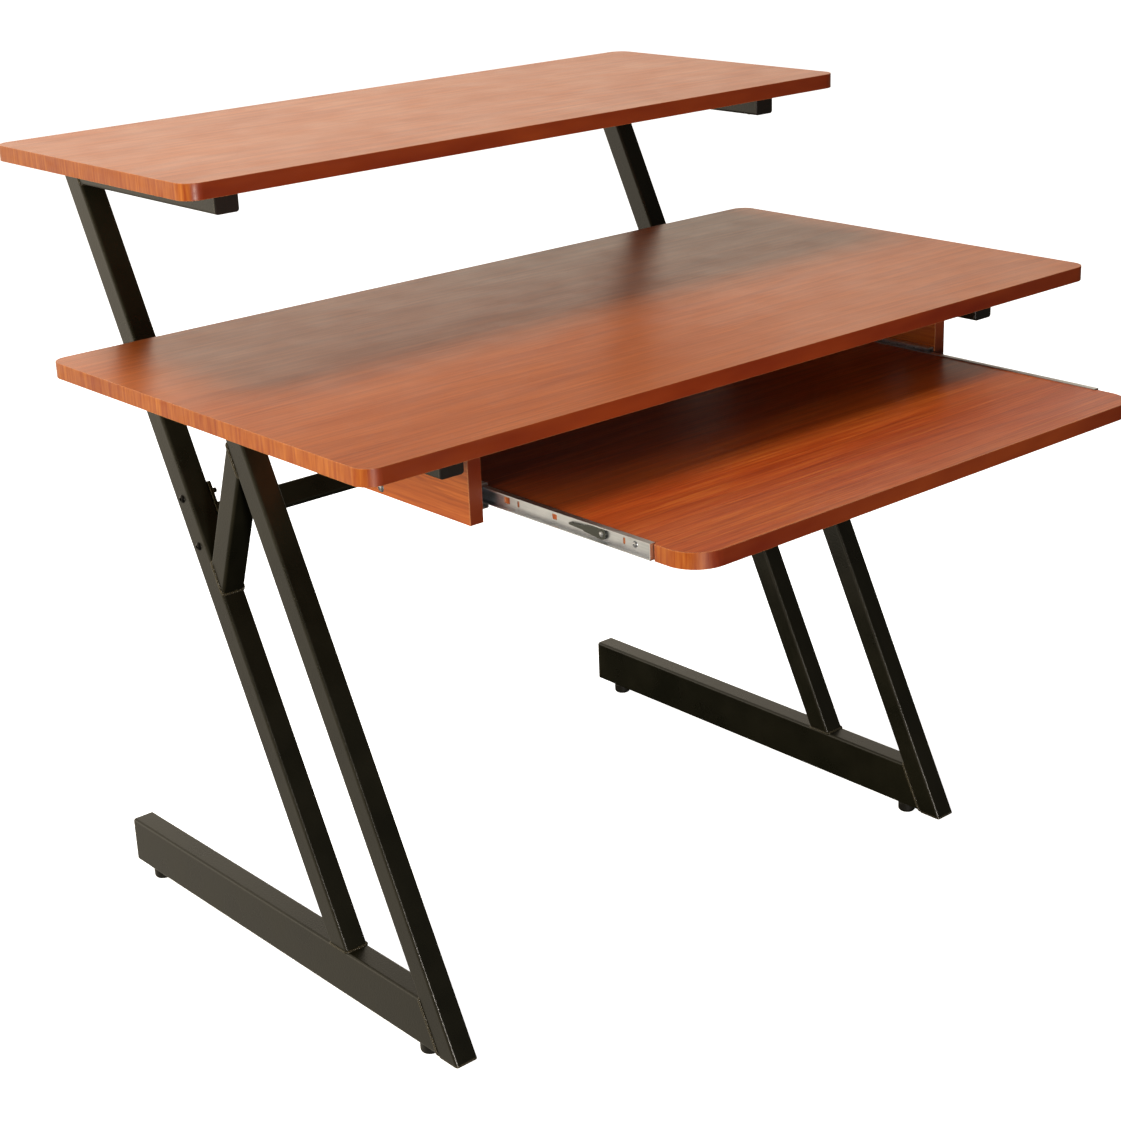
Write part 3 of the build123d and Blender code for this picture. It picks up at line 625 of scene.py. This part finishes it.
# %% Surround
BRIGHT_SIDE = Vector((-0.17, 0.96, 0.14)).normalized()
SURROUND_DIM, SURROUND_BRIGHT = 0.04, 0.95
TURNED_AWAY, TURNED_TOWARDS = -0.2, 0.9  # how far a ray faces the bright side, from -1 to 1
HORIZON = 0.08
BAND_REACH = 0.45
AT_HORIZON, AWAY_FROM_HORIZON = 2.1, 0.72
world = bpy.data.worlds.new("studio")
bpy.context.scene.world = world
world.use_nodes = True
direction = add_node(world, "ShaderNodeTexCoord", output="Generated")
ray_and_wall = {0: direction, 1: BRIGHT_SIDE}
facing = add_node(world, "ShaderNodeVectorMath", ray_and_wall, output="Value", operation="DOT_PRODUCT")
walls = {
    "Value": facing, "From Min": TURNED_AWAY, "From Max": TURNED_TOWARDS,
    "To Min": SURROUND_DIM, "To Max": SURROUND_BRIGHT,
}
wall = add_node(world, "ShaderNodeMapRange", walls)
height = add_node(world, "ShaderNodeSeparateXYZ", {0: direction}, output="Z")
above = add_node(world, "ShaderNodeMath", {0: height, 1: HORIZON}, operation="SUBTRACT")
away = add_node(world, "ShaderNodeMath", {0: above}, operation="ABSOLUTE")
fade = {"Value": away, "From Max": BAND_REACH, "To Min": AT_HORIZON, "To Max": AWAY_FROM_HORIZON}
band = add_node(world, "ShaderNodeMapRange", fade)
mirrored = add_node(world, "ShaderNodeMath", {0: wall, 1: band}, operation="MULTIPLY")
print("surround from", SURROUND_DIM, "to", SURROUND_BRIGHT)

# %% [markdown]
# ## What each kind of ray gets from the surround
# The walls have a second job, which is to fill the shadows. Matt surfaces get only a weak, even light from
# them, since the softboxes do that work, and what the camera sees past the floor is plain white. All other
# rays get it a little warm. A Mix node's plain numbers go into its sockets 2 and 3.

# %% Rays and the surround
SURROUND_ON_MATT = 0.07
SEEN_DIRECTLY = 1.0
matt_ray = add_node(world, "ShaderNodeLightPath", output="Is Diffuse Ray")
for_matt = {0: matt_ray, 2: mirrored, 3: SURROUND_ON_MATT}
indoors = add_node(world, "ShaderNodeMix", for_matt, data_type="FLOAT")
seen = add_node(world, "ShaderNodeLightPath", output="Is Camera Ray")
for_camera = {0: seen, 2: indoors, 3: SEEN_DIRECTLY}
strength = add_node(world, "ShaderNodeMix", for_camera, data_type="FLOAT")
wall_colours = {SHARE: seen, UNDER: linear("#fff2dc"), OVER: linear("#ffffff")}
colour = add_node(world, "ShaderNodeMix", wall_colours, MIXED, data_type="RGBA")
background = world.node_tree.nodes["Background"]
world.node_tree.links.new(strength, background.inputs["Strength"])
world.node_tree.links.new(colour, background.inputs["Color"])
print("surround has", len(world.node_tree.nodes), "nodes and lights matt surfaces by", SURROUND_ON_MATT)

# %% [markdown]
# ## Softboxes
# Three soft lights shape the desk. The strongest hangs overhead and a little behind, so the shelf shades the
# back of the desktop and the desktop shades the tray. One stands at the left, low enough to reach the side
# panel under the desktop. A small low one in front fills the front edges without reaching into the shadows.
# The front one also shows in gloss, as the thin bright lines along the rounded corners of the tubes and
# boards. The other two are hidden from gloss, so that no bright square lies on the boards.

# %% Softboxes
AIM_POINT = Vector((0, 0, 0.6))
SOFTBOXES = {
    "overhead": (Vector((-0.5, 1.5, 4.5)), 1.7, 140, "#ffffff", False),
    "left": (Vector((-3.1, -0.4, 1.5)), 1.3, 98, "#fff3d2", False),
    "front": (Vector((-1.5, -3.2, 0.55)), 0.5, 54, "#fff6ec", True),
}
for name, (place, width, watts, tint, in_gloss) in SOFTBOXES.items():
    lamp_data = bpy.data.lights.new(name, "AREA")
    lamp_data.shape = "SQUARE"
    lamp_data.size = width
    lamp_data.energy = watts
    lamp_data.color = linear(tint)[:3]
    lamp = show(name, lamp_data)
    lamp.location = place
    lamp.rotation_euler = (AIM_POINT - place).to_track_quat("-Z", "Y").to_euler()
    lamp.visible_glossy = in_gloss
    print("softbox", name, round((place - AIM_POINT).length, 2), "m from where it aims,", watts, "W")
bpy.context.scene.view_settings.view_transform = "Standard"
